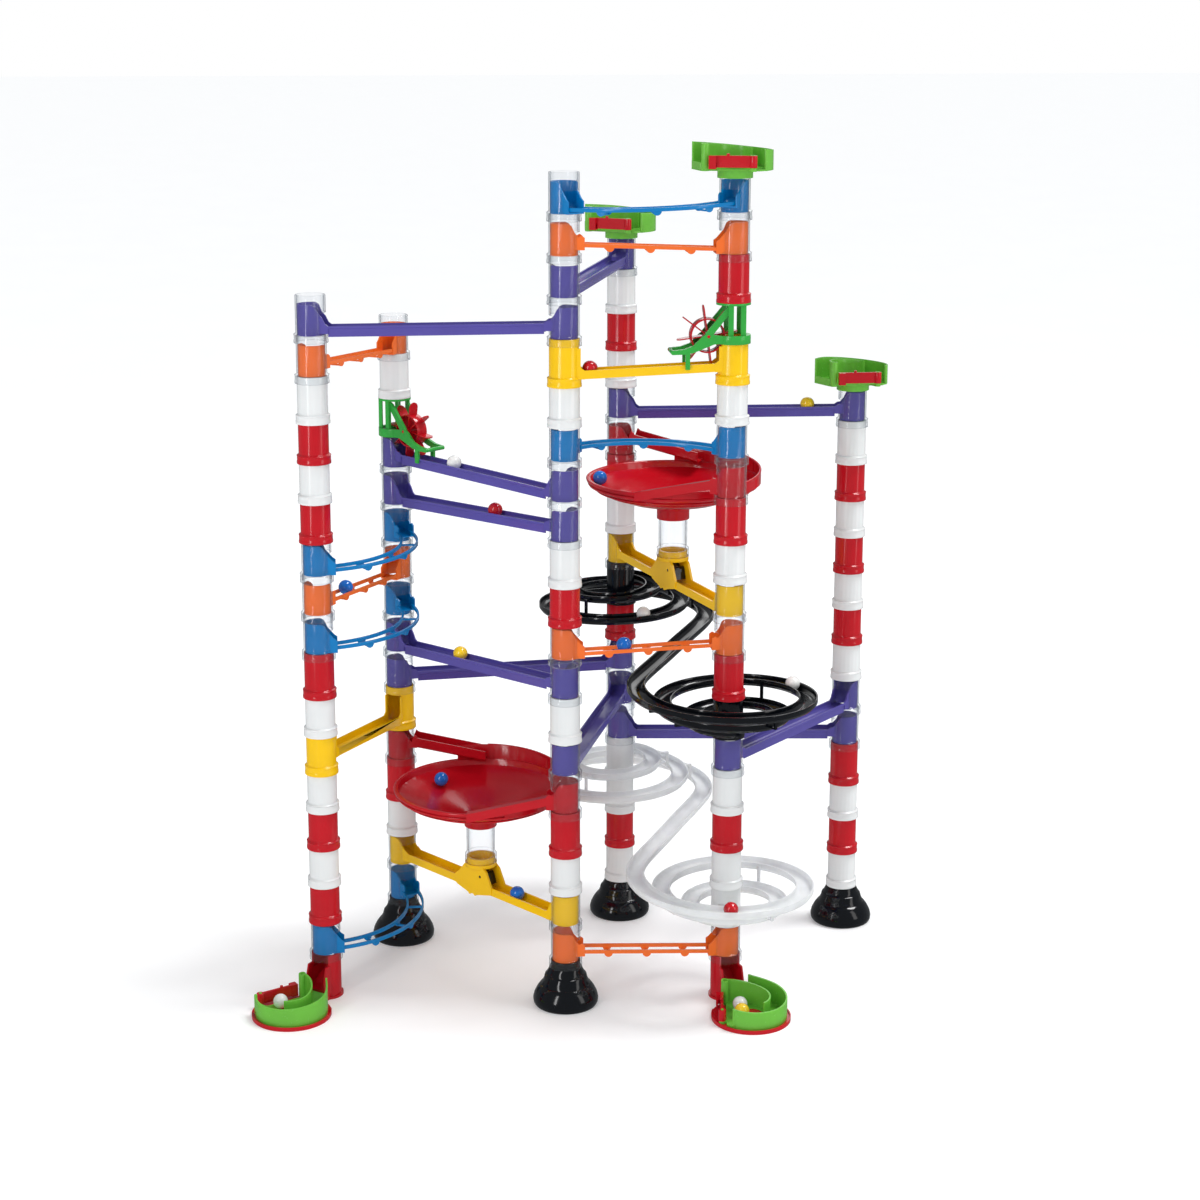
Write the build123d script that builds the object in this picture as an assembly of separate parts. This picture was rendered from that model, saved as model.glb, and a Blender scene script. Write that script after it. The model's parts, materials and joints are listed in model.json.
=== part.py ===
# Marble run: six plug-together columns, joined by channels, rails, funnels and
# spirals, with two paddle wheels, three loading trays and two catching trays.
# Millimetres, +Z up. The origin is the centre of column C's foot on the floor;
# +X points from column C to column D.
import os
from math import acos, asin, atan2, cos, degrees, hypot, radians, sin, sqrt

from build123d import *

# ---- driving dimensions -------------------------------------------------
MODULE = 40.0        # one plugged tube, collar bottom to collar bottom
LONG = 248.0         # column spacing of long tracks, funnels and spirals
SHORT = 165.0        # column spacing of the short pairs A-B and C-D
MARBLE_R = 7.5
MARBLE_AIR = 0.2     # air under a marble

TUBE_R = 15.0        # outside of a tube
BORE_R = 13.6
RIM = 7.0            # the part of a tube's top that stands inside the next collar
SOCKET_R = 15.1
COLLAR_R = 16.7
COLLAR_H = 9.0

CUP_R = 13.4         # coloured cup inside a clear tube
CUP_BORE = 12.0
CUP_BOTTOM = 7.3
CUP_TOP = 38.0
SNOUT = 19.0         # how far a cup's spout reaches from the column axis
SNOUT_W = 9.8        # half width of the spout
WALL = 1.5
WINDOW_W = 10.0      # half width of the window in a clear tube
WINDOW_TOP = 29.6

DROP_LONG = 5.5      # fall of a long channel from end to end
PURPLE_FLOOR = 11.0  # channel floor over the module's joint, at the low end
PURPLE_WALL = 6.0
YELLOW_FLOOR = 9.3
YELLOW_WALL = 7.0
DROP_SHORT = 5.0
RAIL_GAP = 7.0       # half the gap between two rails
RAIL_W = 2.2
RAIL_H = 3.5
RAIL_TOP = 14.0      # rail top at the low end
RAIL_SINK = 4.8      # underside of a marble below the rail tops
BLUE_BULGE = 46.5    # how far a blue rail bows out of the line between columns

WHEEL_X = 25.8       # paddle wheel axle from the column axis
WHEEL_Z = 8.0
DRUM_R = 17.0
PADDLE_R = 30.0
AXLE_R = 1.5
RUN = 0.07           # radial running clearance of axles and pivots

FUNNEL_R = 90.0
FUNNEL_RIM = 43.0    # rim above the funnel's own socket
BOWL = [(51.0, 25.0), (70.0, 30.5), (FUNNEL_R - 5.5, FUNNEL_RIM - 6)]    # sloping floor
SPIRAL_R = 95.0      # where a spiral leaves for the other column
SPIRAL_START = 24.0
SPIRAL_HALF = 9.2

TRAY_R = 36.5
TRAY_REACH = 60.0    # catching tray centre from its column axis
PLATE_R = 40.2
PLATE_T = 2.5


# ---- where the columns stand -------------------------------------------
def turned(p, angle):
    a = radians(angle)
    return (p[0] * cos(a) - p[1] * sin(a), p[0] * sin(a) + p[1] * cos(a))


def polar(r, angle):
    return (r * cos(radians(angle)), r * sin(radians(angle)))


def about(centre, p, angle):
    q = turned((p[0] - centre[0], p[1] - centre[1]), angle)
    return (centre[0] + q[0], centre[1] + q[1])


APEX = 2 * degrees(asin(SHORT / 2 / LONG))  # a short side seen along long ones
AT = {"C": (0.0, 0.0), "D": (SHORT, 0.0)}
AT["E"] = (SHORT / 2, sqrt(LONG**2 - SHORT**2 / 4))
AT["F"] = about(AT["D"], AT["E"], -60)
AT["B"] = about(AT["C"], AT["E"], 60)
AT["A"] = about(AT["C"], AT["B"], APEX)


def heading(a, b):
    return degrees(atan2(AT[b][1] - AT[a][1], AT[b][0] - AT[a][0]))


def placed(shape, column, level, angle=0.0):
    """A piece drawn round a column axis, put on that column's module."""
    x, y = AT[column]
    return shape.moved(Location((x, y, level * MODULE), (0, 0, angle)))


# ---- what stands where: column, levels ----------------------------------
WHITE = {
    "A": (3, 5, 7, 13, 15), "B": (3, 15), "C": (3, 7, 11, 15),
    "D": (3, 5, 11, 15), "E": (1, 3, 11, 15, 17), "F": (1, 3, 7, 9, 11, 13),
}
RED = {
    "A": (2, 4, 8, 12, 14), "B": (4,), "C": (4, 10), "D": (4, 8, 12, 18),
    "E": (2, 8, 12, 16), "F": (2, 4, 8, 10, 12),
}
BASES = "BCEF"
PURPLE = [
    ("E", "C", 18), ("C", "A", 17), ("F", "E", 14), ("B", "C", 13), ("C", "B", 12),
    ("C", "B", 8), ("B", "E", 7), ("E", "C", 6), ("D", "F", 6), ("F", "E", 5),
]
BLUE = [("D", "C", 20), ("C", "D", 14), ("B", "A", 11), ("B", "A", 9), ("B", "A", 1)]
ORANGE = [("C", "D", 19), ("A", "B", 16), ("A", "B", 10), ("D", "C", 9), ("C", "D", 1)]
YELLOW = [("D", "C", 16), ("A", "B", 6)]
GATES = [("E", "D", 10), ("B", "C", 2)]
FUNNELS = [("E", "D", 13), ("B", "C", 5)]
SPIRALS = [("E", "D", 9), ("E", "D", 4)]
WHEELS = [("D", "C", 17), ("B", "C", 14)]
STARTERS = [("D", 21, 190.0), ("E", 19, 175.0), ("F", 15, 205.0)]
CATCHERS = [("A", -126.0), ("D", -73.0)]


# ---- small helpers ------------------------------------------------------
def ring(outer, inner, z0, z1):
    h = z1 - z0
    body = Cylinder(outer, h) - Cylinder(inner, h + 2)
    return body.moved(Location((0, 0, (z0 + z1) / 2)))


def disc(radius, z0, z1):
    return Cylinder(radius, z1 - z0).moved(Location((0, 0, (z0 + z1) / 2)))


def block(x0, x1, y0, y1, z0, z1):
    centre = ((x0 + x1) / 2, (y0 + y1) / 2, (z0 + z1) / 2)
    return Box(x1 - x0, y1 - y0, z1 - z0).moved(Location(centre))


def side_prism(points, y0, y1):
    """A shape drawn in x and z, as thick as y0 to y1."""
    face = make_face(Plane.XZ * Polyline(*points, close=True))
    return extrude(face, amount=y1 - y0, dir=(0, 1, 0)).moved(Location((0, y0, 0)))


def cross_pin(x, z, radius, y0, y1):
    pin = Cylinder(radius, y1 - y0).moved(Location((0, 0, 0), (90, 0, 0)))
    return pin.moved(Location((x, (y0 + y1) / 2, z)))


def spun(points):
    """A solid of revolution from (radius, height) points."""
    return revolve(make_face(Plane.XZ * Polyline(*points, close=True)), Axis.Z)


def section_run(points, x0, z0, x1, z1):
    """A cross-section drawn in y and z, run along a sloping straight line."""
    outline = [(0, y, z) for y, z in points]
    face = make_face(Polyline(*outline, close=True))
    run = hypot(x1 - x0, z1 - z0)
    solid = extrude(face, amount=run, dir=((x1 - x0) / run, 0, (z1 - z0) / run))
    return solid.moved(Location((x0, 0, z0)))


def swept(points, path):
    """A cross-section (across, up) kept upright while it follows a path."""
    start, tangent = path @ 0, path % 0
    across = Vector(0, 0, 1).cross(tangent).normalized()
    plane = Plane(origin=start, x_dir=across, z_dir=tangent)
    face = make_face(plane * Polyline(*points, close=True))
    return sweep(face, path=path, binormal=path.moved(Location((0, 0, 40))))


def whole(shape):
    """The one solid of a fused piece."""
    solids = shape.solids()
    if len(solids) != 1:
        print("warning: piece in", len(solids), "solids")
    return max(solids, key=lambda s: s.volume)


# ---- tubes --------------------------------------------------------------
def tube():
    top = MODULE + RIM
    return spun([
        (SOCKET_R, 0), (COLLAR_R + 0.3, 0), (COLLAR_R + 0.3, 2.6), (COLLAR_R, 3.2),
        (COLLAR_R, 7.6), (COLLAR_R + 0.35, 8.0), (COLLAR_R + 0.35, COLLAR_H - 0.4),
        (COLLAR_R - 0.4, COLLAR_H), (TUBE_R, COLLAR_H + 0.8), (TUBE_R, top - 0.5),
        (TUBE_R - 0.5, top), (BORE_R, top), (BORE_R, RIM), (SOCKET_R, RIM),
    ])


def windowed(sill):
    """A clear tube with the window its track leaves by."""
    cut = block(8, 20, -WINDOW_W, WINDOW_W, sill, WINDOW_TOP)
    return whole(tube() - cut)


# ---- the cup at the end of a track --------------------------------------
def slope_over(wall_top, x0=2.5, tip=SNOUT):
    """What the sweeping upper edge of a cup leaves away."""
    return side_prism([
        (x0, CUP_TOP + 9), (x0, CUP_TOP), (6, 36.2), (9.3, 29.5), (13, 25.2),
        (16, wall_top + 2.2), (tip, wall_top), (tip + 6, wall_top), (tip + 6, CUP_TOP + 9),
    ], -20, 20)


def cup(floor, wall_top, start, outer_tube=False):
    """Cup with its spout towards +X. A start cup has a closed sloping floor,
    a landing cup drops the marble through its open bottom."""
    sole = floor - WALL
    if outer_tube:
        body = tube() + block(9, SNOUT, -SNOUT_W, SNOUT_W, sole, CUP_TOP)
        bore = BORE_R
    else:
        body = disc(CUP_R, CUP_BOTTOM, CUP_TOP)
        body += block(0, SNOUT, -SNOUT_W, SNOUT_W, sole, CUP_TOP)
        bore = CUP_BORE
    body -= disc(bore, floor, CUP_TOP + 12)
    if sole > CUP_BOTTOM + 0.5:
        body -= disc(bore, 0, sole)
    inner = SNOUT_W - WALL
    body -= block(0, SNOUT + 1, -inner, inner, floor, CUP_TOP + 1)
    cut = slope_over(wall_top)
    if outer_tube:
        cut = cut & block(TUBE_R + 0.05, 40, -20, 20, 0, 60)
        body -= block(10, TUBE_R + 0.05, -inner, inner, floor, WINDOW_TOP)
    body -= cut
    if start:
        reach = bore + 0.6
        ramp = side_prism([
            (-reach, sole), (8, sole), (8, floor), (-2, floor + 2.2), (-reach, floor + 7),
        ], -reach, reach)
        body += ramp & disc(reach, 0, MODULE)
    else:
        body -= block(-20, 4, -20, 20, 0, floor) & disc(bore, 0, floor + 0.1)
    return body


# ---- channels -----------------------------------------------------------
PURPLE_SECTION = [
    (-9.8, 6.0), (-9.8, 3.9), (-8.9, 3.3), (-8.2, -4.5), (-6.9, -4.5), (-7.2, -1.5),
    (7.2, -1.5), (6.9, -4.5), (8.2, -4.5), (8.9, 3.3), (9.8, 3.9), (9.8, 6.0),
    (8.3, 6.0), (7.9, 3.0), (6.6, 0.8), (4.5, 0.0), (-4.5, 0.0), (-6.6, 0.8),
    (-7.9, 3.0), (-8.3, 6.0),
]
YELLOW_SECTION = [
    (-9.6, 7.0), (-9.6, -1.3), (9.6, -1.3), (9.6, 7.0), (8.1, 7.0), (7.9, 0.8),
    (5.0, 0.0), (-5.0, 0.0), (-7.9, 0.8), (-8.1, 7.0),
]


def channel(section, wall, floor, drop, span, outer_tube=False):
    high = floor + drop
    far = Location((span, 0, 0), (0, 0, 180))
    body = cup(high, high + wall, True, outer_tube)
    body += cup(floor, floor + wall, False, outer_tube).moved(far)
    x0, x1 = SNOUT - 0.2, span - SNOUT + 0.2
    return body + section_run(section, x0, high, x1, floor)


# ---- rails --------------------------------------------------------------
def rail_path(y, top_high, top_low, span, bulge):
    """Centre line of one rail; a bowed pair keeps its gap along the bow."""
    if not bulge:
        return Line((SNOUT - 2, y, top_high), (span - SNOUT + 2, y, top_low))
    radius = (span**2 / 4 + bulge**2) / 2 / bulge
    cx, cy = span / 2, bulge - radius
    half = degrees(asin(span / 2 / radius)) - degrees((SNOUT - 2.5) / radius)
    points = []
    for i in range(13):
        t = i / 12
        a = radians(90 + half - 2 * half * t)
        points.append((cx + (radius + y) * cos(a), cy + (radius + y) * sin(a),
                       top_high + (top_low - top_high) * t))
    return Spline(*points)


def along(path, t):
    """A frame on a path: x along it in plan, z up."""
    p, d = path @ t, path % t
    return Location((p.X, p.Y, p.Z), (0, 0, degrees(atan2(d.Y, d.X))))


def rails(low, drop, span, bulge=0.0):
    high = low + drop
    turn = 0.0
    if bulge:
        radius = (span**2 / 4 + bulge**2) / 2 / bulge
        turn = degrees(asin(span / 2 / radius))
    near = Location((0, 0, 0), (0, 0, turn))
    far = Location((span, 0, 0), (0, 0, 180 - turn))
    body = cup(high - RAIL_SINK, high + 5.5, True).moved(near)
    body += cup(low - RAIL_SINK, low + 5.5, False).moved(far)
    y = RAIL_GAP + RAIL_W / 2
    bar = [(-RAIL_W / 2, -RAIL_H), (RAIL_W / 2, -RAIL_H), (RAIL_W / 2, 0), (-RAIL_W / 2, 0)]
    for side in (-y, y):
        path = rail_path(side, high, low, span, bulge)
        body += swept(bar, path)
        for t in (0.2, 0.5, 0.8):
            hump = cross_pin(0, -RAIL_H + 0.6, 4.4, 0.3 - RAIL_W / 2, RAIL_W / 2 - 0.3)
            hump -= block(-9, 9, -5, 5, -1.0, 9)
            body += hump.moved(along(path, t))
    middle = rail_path(0, high, low, span, bulge)
    for t in (0.2, 0.5, 0.8):
        tie = block(-1.3, 1.3, -y, y, -6.8, -5.2)
        body += tie.moved(along(middle, t))
    return body


# ---- yellow gate track --------------------------------------------------
GATE_HALF = 26.0      # half length of the housing's foot
FLAP_X = 9.0          # flap pivot from the middle of the track
FLAP_Z = 27.0


def gate_track():
    mid = LONG / 2
    body = channel(YELLOW_SECTION, YELLOW_WALL, YELLOW_FLOOR, DROP_LONG, LONG)
    cheek = [
        (mid - GATE_HALF - 8, 17), (mid - GATE_HALF + 4, 27), (mid - 15, 35.5),
        (mid - 12, 38.5), (mid + 12, 38.5), (mid + 18, 34), (mid + GATE_HALF, 18),
        (mid + GATE_HALF, 11), (mid + 4, 5.5), (mid - 8, 5.5), (mid - GATE_HALF, 10.5),
    ]
    for side in (1, -1):
        y0, y1 = sorted((side * 8.2, side * 10.6))
        body += side_prism(cheek, y0, y1)
        for x in (mid - 7, mid + 1):
            body += cross_pin(x, 6.0, 2.0, y0, y1)
    seat = ring(TUBE_R, 12.2, 36.0, MODULE + RIM - 1.0).moved(Location((mid, 0, 0)))
    flange = ring(TUBE_R + 1.6, 12.2, 36.0, MODULE - 0.1).moved(Location((mid, 0, 0)))
    body += seat + flange
    body -= cross_pin(mid + FLAP_X, FLAP_Z, AXLE_R + RUN, -12, 12)
    return whole(body)


def gate_flap():
    """Black rocker that turns the dropped marble down the track."""
    mid = LONG / 2
    body = cross_pin(0, 0, AXLE_R, -10.4, 10.4)
    body += cross_pin(0, 0, 3.0, -7.6, 7.6)
    blade = side_prism([(-3, 1), (-18.5, 7.5), (-18.5, 5.3), (0, -2.6), (4.5, -9.6),
                        (6.6, -9.6), (3.2, 0.5)], -7.2, 7.2)
    return whole(body + blade).moved(Location((mid + FLAP_X, 0, FLAP_Z)))


# ---- funnel -------------------------------------------------------------
def funnel():
    """Bowl on a socket half-way between two columns. Local z = 0 is the
    columns' joint; the socket stands one module lower."""
    mid = LONG / 2
    base = -MODULE
    rim = base + FUNNEL_RIM
    outer = [
        (TUBE_R + 0.1, base), (COLLAR_R + 0.3, base), (COLLAR_R + 0.3, base + 9),
        (COLLAR_R + 1.5, base + 13), (52, base + 20), (72, base + 28), (FUNNEL_R - 2.5, rim - 7),
        (FUNNEL_R - 2.5, rim - 2.2), (FUNNEL_R, rim - 2.2), (FUNNEL_R, rim),
        (FUNNEL_R - 4, rim), *[(r, base + z) for r, z in reversed(BOWL)],
        (12.5, base + 12), (12.5, base + RIM), (TUBE_R + 0.1, base + RIM),
    ]
    body = spun(outer)
    lip = 15.5  # raised back wall over the rim
    back = ring(FUNNEL_R, FUNNEL_R - 1.8, rim - 4, rim + lip)
    far = 2 * FUNNEL_R
    sector = [(0, 0)] + [
        (far * cos(radians(a)), far * sin(radians(a))) for a in range(82, 156, 14)
    ]
    wedge = extrude(make_face(Polyline(*sector, close=True)), amount=200)
    back &= wedge.moved(Location((0, 0, base - 20)))
    back -= side_prism([(-100, rim + lip + 3), (-60, rim + lip + 3), (45, rim + 7),
                        (45, 60), (-100, 60)], -100, 100)
    body += back
    body = body.moved(Location((mid, 0, 0)))

    reach = FUNNEL_R - 8.5
    lean = degrees(asin(reach / mid))
    run = sqrt(mid**2 - reach**2)
    # feeding trough along the back
    high, low = 20.5, rim + 3.2
    feed = cup(high, high + 11.0, True)
    trough = [
        (-9.8, 9.5), (-9.8, 0.5), (-7.5, -1.5), (7.5, -1.5), (9.8, 0.5), (9.8, 11.0),
        (8.3, 11.0), (8.1, 1.6), (5.5, 0.0), (-5.5, 0.0), (-8.1, 1.6), (-8.3, 9.5),
    ]
    feed += section_run(trough, SNOUT - 0.2, high, run - 1, low)
    feed = feed.moved(Location((0, 0, 0), (0, 0, lean)))
    # stay to the other column, along the front
    stay = cup(YELLOW_FLOOR + 2, 24.0, False)
    bar = [(-9.8, 6.0), (-9.8, -3.0), (-7.6, -3.0), (-7.6, 3.6), (-2.0, 3.6), (-2.0, 6.0)]
    flipped = [(-y, z) for y, z in bar]
    stay += section_run(flipped, SNOUT - 0.4, 17.0, run + 6, rim - 5.0)
    stay = stay.moved(Location((LONG, 0, 0), (0, 0, 180 + lean)))
    body += feed + stay
    bowl_space = spun([
        (0, rim + 3.0), (FUNNEL_R - 12, rim - 2.5), (70, base + 30.6), (51, base + 25.1),
        (12.5, base + 12), (12.5, base + RIM), (0, base + RIM),
    ]).moved(Location((mid, 0, 0)))
    body -= bowl_space & block(mid - 60, LONG, -FUNNEL_R, reach - 14, -60, 60)
    return whole(body)


# ---- spiral track -------------------------------------------------------
SPIRAL_TURNS = 840.0    # degrees wound round each column
SPIRAL_TOP = 22.0       # channel floor at the upper column, over its joint
SPIRAL_LEVELS = 2       # modules between the two ends
SPIRAL_BOTTOM = 7.5
SPIRAL_INNER = 46.0     # radius where the track starts to close on the tube
SPIRAL_CLOSING = 180.0  # degrees over which it does so
SPIRAL_CROSSING = 16.0  # fall of the straight run between the columns
SPIRAL_STEPS = 42
SPIRAL_SWING = degrees(acos(SPIRAL_R / (LONG / 2)))
SPIRAL_FALL = SPIRAL_LEVELS * MODULE + SPIRAL_TOP - SPIRAL_BOTTOM


def spiral_radius(wound):
    """Radius of the track, degrees wound inwards from the straight run."""
    wide = SPIRAL_TURNS - SPIRAL_CLOSING
    if wound <= wide:
        return SPIRAL_R - (SPIRAL_R - SPIRAL_INNER) * wound / wide
    return SPIRAL_INNER - (SPIRAL_INNER - SPIRAL_START) * (wound - wide) / SPIRAL_CLOSING


def spiral_climb(wound):
    """Height over or under the middle of the straight run."""
    start = SPIRAL_CROSSING / 2
    return start + (SPIRAL_FALL / 2 - start) * wound / SPIRAL_TURNS


def spiral_half(sign):
    """Half of the centre line, from the middle of the crossing inwards to
    one column at the origin; the other column lies at (LONG, 0)."""
    tangent = sqrt(LONG**2 / 4 - SPIRAL_R**2)
    x, y = polar(SPIRAL_R, SPIRAL_SWING)
    dx, dy = polar(tangent / 2, SPIRAL_SWING - 90)
    points = [(LONG / 2, 0.0, 0.0), (x + dx, y + dy, SPIRAL_CROSSING / 4)]
    for i in range(SPIRAL_STEPS + 1):
        wound = SPIRAL_TURNS * i / SPIRAL_STEPS
        x, y = polar(spiral_radius(wound), SPIRAL_SWING + wound)
        points.append((x, y, spiral_climb(wound)))
    return [(x, y, sign * z) for x, y, z in points]


SPIRAL_SECTION = [
    (-SPIRAL_HALF, 7.5), (-SPIRAL_HALF, 2.5), (-6.8, -0.6), (-3.2, -1.6), (3.2, -1.6),
    (6.8, -0.6), (SPIRAL_HALF, 2.5), (SPIRAL_HALF, 7.5), (SPIRAL_HALF - 1.3, 7.5),
    (SPIRAL_HALF - 1.4, 3.2), (6.0, 1.0), (3.0, 0.0), (-3.0, 0.0), (-6.0, 1.0),
    (-SPIRAL_HALF + 1.4, 3.2), (-SPIRAL_HALF + 1.3, 7.5),
]


def spiral_stay(wound, sign):
    """Thin bracket from one turn up or down to the next turn inwards."""
    outside = spiral_radius(wound) - SPIRAL_HALF
    inside = spiral_radius(wound + 360) + SPIRAL_HALF
    here, there = sign * spiral_climb(wound), sign * spiral_climb(wound + 360)
    low, high = min(here, there) + 3.0, max(here, there) + 5.0
    post = block(outside - 1.8, outside + 0.4, -1.5, 1.5, low, high)
    return post + block(inside - 0.4, outside, -1.5, 1.5, there + 3.0, there + 5.0)


def spiral():
    """From the upper column at the origin to the lower one at (LONG, 0).
    Local z = 0 is the upper module's joint."""
    low_joint = -SPIRAL_LEVELS * MODULE
    middle_z = (SPIRAL_TOP + low_joint + SPIRAL_BOTTOM) / 2
    upper = spiral_half(1)
    lower = [(LONG - x, -y, z) for x, y, z in spiral_half(-1)]
    line = list(reversed(upper)) + lower[1:]
    path = Spline(*[(x, y, z + middle_z) for x, y, z in line])
    pieces = []
    for column_x, joint, at_end in ((0.0, 0.0, 0), (LONG, low_joint, 1)):
        p = path @ at_end
        mouth_angle = degrees(atan2(p.Y, p.X - column_x))
        shell = tube().moved(Location((0, 0, joint)))
        floor = p.Z
        hole = block(0, 22, -9.5, 9.5, floor, floor + 17)
        shell -= hole.moved(Location((0, 0, 0), (0, 0, mouth_angle)))
        if at_end == 0:
            ramp = disc(BORE_R + 0.5, floor - 2, floor + 6)
            ramp -= side_prism([(20, floor), (4, floor), (-14, floor + 6.1), (-14, 99),
                                (20, 99)], -20, 20)
            shell += ramp.moved(Location((0, 0, 0), (0, 0, mouth_angle)))
        # closed apron between tube and channel mouth, clear of the rim plugged in below
        apron_x = TUBE_R - 0.7 if at_end == 0 else SOCKET_R + 0.1
        apron = block(apron_x, SPIRAL_START, -9.2, 9.2, floor - 1.6, floor)
        apron += block(apron_x, SPIRAL_START, -9.2, -7.8, floor - 1.6, floor + 7.5)
        shell += apron.moved(Location((0, 0, 0), (0, 0, mouth_angle)))
        inside = disc(BORE_R, floor + 6.2, joint + MODULE + RIM + 1)
        inside += disc(BORE_R, joint + RIM, floor - 2.0) if at_end == 0 else \
            disc(BORE_R, joint + RIM, floor + 7)
        shell -= inside
        pieces.append(shell.moved(Location((column_x, 0, 0))))
    for sign, column_x, turn in ((1, 0.0, 0.0), (-1, LONG, 180.0)):
        for wound in (40.0, 150.0, 260.0, 400.0):
            angle = SPIRAL_SWING + wound + turn
            place = Location((column_x, 0, middle_z), (0, 0, angle))
            pieces.append(spiral_stay(wound, sign).moved(place))
    return swept(SPIRAL_SECTION, path) + pieces, path


# ---- paddle wheel and its frame -----------------------------------------
ARM_IN, ARM_OUT = 9.4, 12.4


def wheel_frame(wall_height):
    """Green frame that takes one module; wall_height is the top of the
    track wall its feet stand on, under this module's joint."""
    body = ring(COLLAR_R + 0.5, SOCKET_R, 0, RIM + 1.5)
    body += ring(COLLAR_R + 0.5, BORE_R - 0.6, RIM, RIM + 1.5)
    body += ring(TUBE_R, BORE_R - 0.6, MODULE - 2.2, MODULE + RIM - 0.1)
    body += ring(COLLAR_R + 0.2, BORE_R - 0.6, MODULE - 2.2, MODULE - 0.05)
    for x, y in ((4.5, 13.2), (-8.0, 11.4)):
        for side in (1, -1):
            post = block(x - 2.6, x + 2.6, -1.7, 1.7, RIM, MODULE - 1)
            body += post.moved(Location((0, side * y, 0)))
    foot_x = 46.0
    shoulder = -wall_height
    arm = [
        (9, 0.6), (9, 8.0), (20, 9.6), (27, 11.5), (32, 8.0), (41, -1.0), (50, -4.2),
        (60, -5.2), (62, -7.2), (60, -9.4), (49, -9.2), (40, -7.6), (30, -3.5), (20, 0.4),
    ]
    strut = [(-1, 38.5), (6, 38.5), (29.5, 10.5), (23.5, 7.0)]
    for side in (1, -1):
        y0, y1 = sorted((side * ARM_IN, side * ARM_OUT))
        body += side_prism(arm, y0, y1) + side_prism(strut, y0, y1)
        body += block(foot_x - 2.2, foot_x + 2.2, y0, y1, shoulder, -7)
        outside = sorted((side * 10.1, side * ARM_OUT))
        body += block(foot_x - 2.2, foot_x + 2.2, *outside, shoulder - 4.5, shoulder + 1)
    body += cross_pin(60.5, -7.3, 2.1, -ARM_OUT, ARM_OUT)
    body -= cross_pin(WHEEL_X, WHEEL_Z, AXLE_R + RUN, -14, 14)
    body -= disc(BORE_R - 0.6, -1, MODULE + 9) + disc(SOCKET_R, -1, RIM)
    body -= block(9, WHEEL_X, -9.3, 9.3, -20, 37)
    return whole(body)


def paddle_wheel():
    body = cross_pin(0, 0, AXLE_R, -12.2, 12.2) + cross_pin(0, 0, 3.2, -8.6, 8.6)
    drum = Cylinder(DRUM_R, 12) - Cylinder(DRUM_R - 1.5, 13)
    body += drum.moved(Location((0, 0, 0), (90, 0, 0)))
    tip = 5.5
    paddle = block(2, PADDLE_R - tip, -tip, tip, -0.6, 0.6)
    paddle += disc(tip, -0.6, 0.6).moved(Location((PADDLE_R - tip, 0, 0)))
    for i in range(8):
        body += paddle.moved(Location((0, 0, 0), (0, i * 45.0 + 8.0, 0)))
    return whole(body).moved(Location((WHEEL_X, 0, WHEEL_Z)))


def paddle_sweep():
    """The room a turning wheel needs, seen from its frame's joint."""
    return cross_pin(WHEEL_X, WHEEL_Z, PADDLE_R + 1.2, -7.2, 7.2)


def under_wheel(shape, a, b, level):
    """A piece at the high end of a link, notched where a wheel turns over it."""
    if (a, b, level + 1) in WHEELS:
        shape = shape - paddle_sweep().moved(Location((0, 0, MODULE)))
    return shape


# ---- trays --------------------------------------------------------------
TRAY_FLOOR = 1.6
MOUTH_X = 38.8          # where the tray's mouth meets a chute
LEVER_AT = 65.0         # direction of the lever seen from the tray's middle
LEVER_OUT = 28.0


def tray_wall(points, height=60.0):
    return extrude(trace(Spline(*points), 1.6), amount=height)


def tray(with_boss):
    """Round green tray about its own middle; its mouth points to +X."""
    outer = [polar(TRAY_R - 0.8, a) for a in range(-235, -40, 15)]
    outer += [polar(TRAY_R + 0.6, -38), (34.0, -18.8), (MOUTH_X - 0.8, -15.9)]
    inner = [polar(19.0, a) for a in range(-165, -60, 15)]
    inner += [polar(20.5, -45), polar(24.5, -20), polar(30.0, -2), (35.8, 9.6)]
    walls = tray_wall(outer) + tray_wall(inner)
    walls += ring(3.7, 2.2, 0, 60).moved(Location((34.9, 12.5, 0)))
    tip = outer[0]
    walls += disc(1.6, 0, 60).moved(Location((*tip, 0)))
    walls -= side_prism([(-80, 16.5), (-40, 18.5), (40, 26.5), (80, 29), (80, 99),
                         (-80, 99)], -80, 80)
    floor = disc(TRAY_R - 0.5, 0, TRAY_FLOOR)
    floor += extrude(make_face(Polyline((20, -28), (MOUTH_X, -16), (MOUTH_X, 11), (34, 19),
                                        (20, 14), close=True)), amount=TRAY_FLOOR)
    chord = block(LEVER_OUT - 3.2, 90, -80, 80, -1, 9)
    keep = block(12, 90, -80, 11, -2, 9)
    floor -= chord.moved(Location((0, 0, 0), (0, 0, LEVER_AT))) - keep
    floor -= disc(12.6, -1, 9)
    ramp = side_prism([(24, 1), (MOUTH_X, 1), (MOUTH_X, 8.0)], -26, 16)
    ramp &= extrude(make_face(Polyline((24, -25), (MOUTH_X, -16), (MOUTH_X, 9), (36.5, 11),
                                       (29.6, 0), (24, -9), close=True)), amount=12)
    body = walls + floor + ramp
    lug = disc(3.2, 0, 3.4).moved(Location((*lever_pivot(), 0)))
    pin = disc(AXLE_R, 3.0, 15.5).moved(Location((*lever_pivot(), 0)))
    bridge = block(0, 14, -2.2, 2.2, 0, TRAY_FLOOR)
    px, py = lever_pivot()
    bridge = bridge.moved(Location((px, py, 0), (0, 0, degrees(atan2(-py, -px)))))
    body += lug + pin + bridge
    if with_boss:
        body += ring(COLLAR_R + 0.5, SOCKET_R, -RIM - 0.8, 0.2)
        body += ring(COLLAR_R + 0.5, 12.6, -0.8, 0.2)
    return whole(body)


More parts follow.
